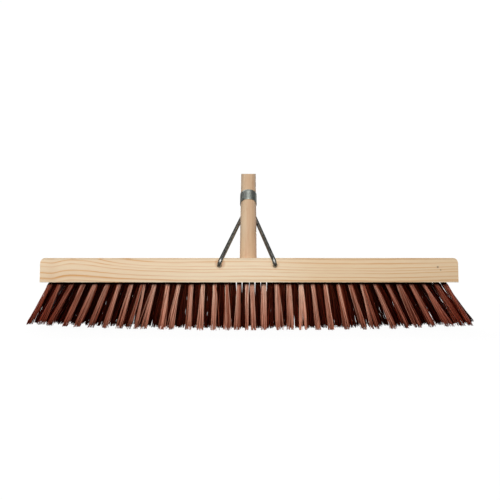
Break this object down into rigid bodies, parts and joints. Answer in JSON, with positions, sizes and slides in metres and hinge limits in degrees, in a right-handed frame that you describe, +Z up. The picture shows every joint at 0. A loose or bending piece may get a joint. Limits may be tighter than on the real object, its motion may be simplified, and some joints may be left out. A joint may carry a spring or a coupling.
{
  "type": "push broom",
  "caption": "Wide push broom: wooden block with rows of stiff bristle tufts, a slanted round wooden handle, and a clamped two-legged steel stay that braces the handle.",
  "frame": {"origin": "on the floor, at the tip of the middle tuft of the middle row, 3.8 mm to the left of the block's centre plane", "axes": "+X along the block; -Y out of the front face that takes the stay rods; +Z up; the handle leans towards +Y"},
  "size_m": [0.7261, 0.7894, 1.2614],
  "materials": {
    "pine": "bare planed pine with thin orange latewood lines",
    "dowel": "smooth turned hardwood with fine lengthwise streaks",
    "zinc": "dull zinc-plated sheet and hardware",
    "iron": "dark drawn steel rod, brighter where it is bent",
    "bristle": "stiff reddish-brown filament"
  },
  "bodies": {
    "head": {"block": "pine", "stay_band": "zinc", "stay_rod_left": "iron", "stay_rod_right": "iron", "clamp_bolt": "zinc", "clamp_washer": "zinc", "clamp_nut": "zinc"},
    "handle": {"handle": "dowel"},
    "bristle_row_1": {"front_tuft_01": "bristle", "front_tuft_02": "bristle", "front_tuft_03": "bristle", "front_tuft_04": "bristle", "front_tuft_05": "bristle", "front_tuft_06": "bristle", "front_tuft_07": "bristle", "front_tuft_08": "bristle", "front_tuft_09": "bristle", "front_tuft_10": "bristle", "front_tuft_11": "bristle", "front_tuft_12": "bristle", "front_tuft_13": "bristle", "front_tuft_14": "bristle", "front_tuft_15": "bristle", "front_tuft_16": "bristle", "front_tuft_17": "bristle", "front_tuft_18": "bristle", "front_tuft_19": "bristle", "front_tuft_20": "bristle", "front_tuft_21": "bristle", "front_tuft_22": "bristle", "front_tuft_23": "bristle", "front_tuft_24": "bristle", "front_tuft_25": "bristle", "front_tuft_26": "bristle", "front_tuft_27": "bristle", "front_tuft_28": "bristle", "front_tuft_29": "bristle", "front_tuft_30": "bristle", "front_tuft_31": "bristle", "front_tuft_32": "bristle", "front_tuft_33": "bristle", "front_tuft_34": "bristle", "front_tuft_35": "bristle"},
    "bristle_row_2": {"tuft_row_2": "bristle"},
    "bristle_row_3": {"tuft_row_3": "bristle"},
    "bristle_row_4": {"tuft_row_4": "bristle"},
    "bristle_row_5": {"tuft_row_5": "bristle"}
  },
  "joints": [
    {"name": "handle_draw", "type": "slide", "parent": "head", "child": "handle", "axis": [0, 0.5373, 0.8434], "range_m": [0, 0.18]},
    {"name": "row_1_flex", "type": "hinge", "parent": "head", "child": "bristle_row_1", "pos_m": [0, -0.028, 0.075], "axis": [1, 0, 0], "range_deg": [-18, 18], "stiffness_Nm_per_rad": 25},
    {"name": "row_2_flex", "type": "hinge", "parent": "head", "child": "bristle_row_2", "pos_m": [0, -0.014, 0.075], "axis": [1, 0, 0], "range_deg": [-18, 18], "stiffness_Nm_per_rad": 25},
    {"name": "row_3_flex", "type": "hinge", "parent": "head", "child": "bristle_row_3", "pos_m": [0, 0, 0.075], "axis": [1, 0, 0], "range_deg": [-18, 18], "stiffness_Nm_per_rad": 25},
    {"name": "row_4_flex", "type": "hinge", "parent": "head", "child": "bristle_row_4", "pos_m": [0, 0.014, 0.075], "axis": [1, 0, 0], "range_deg": [-18, 18], "stiffness_Nm_per_rad": 25},
    {"name": "row_5_flex", "type": "hinge", "parent": "head", "child": "bristle_row_5", "pos_m": [0, 0.028, 0.075], "axis": [1, 0, 0], "range_deg": [-18, 18], "stiffness_Nm_per_rad": 25}
  ],
  "couplings": [
    {"joint": "row_2_flex", "follows": "row_1_flex", "ratio": 1},
    {"joint": "row_3_flex", "follows": "row_1_flex", "ratio": 1},
    {"joint": "row_4_flex", "follows": "row_1_flex", "ratio": 1},
    {"joint": "row_5_flex", "follows": "row_1_flex", "ratio": 1}
  ]
}
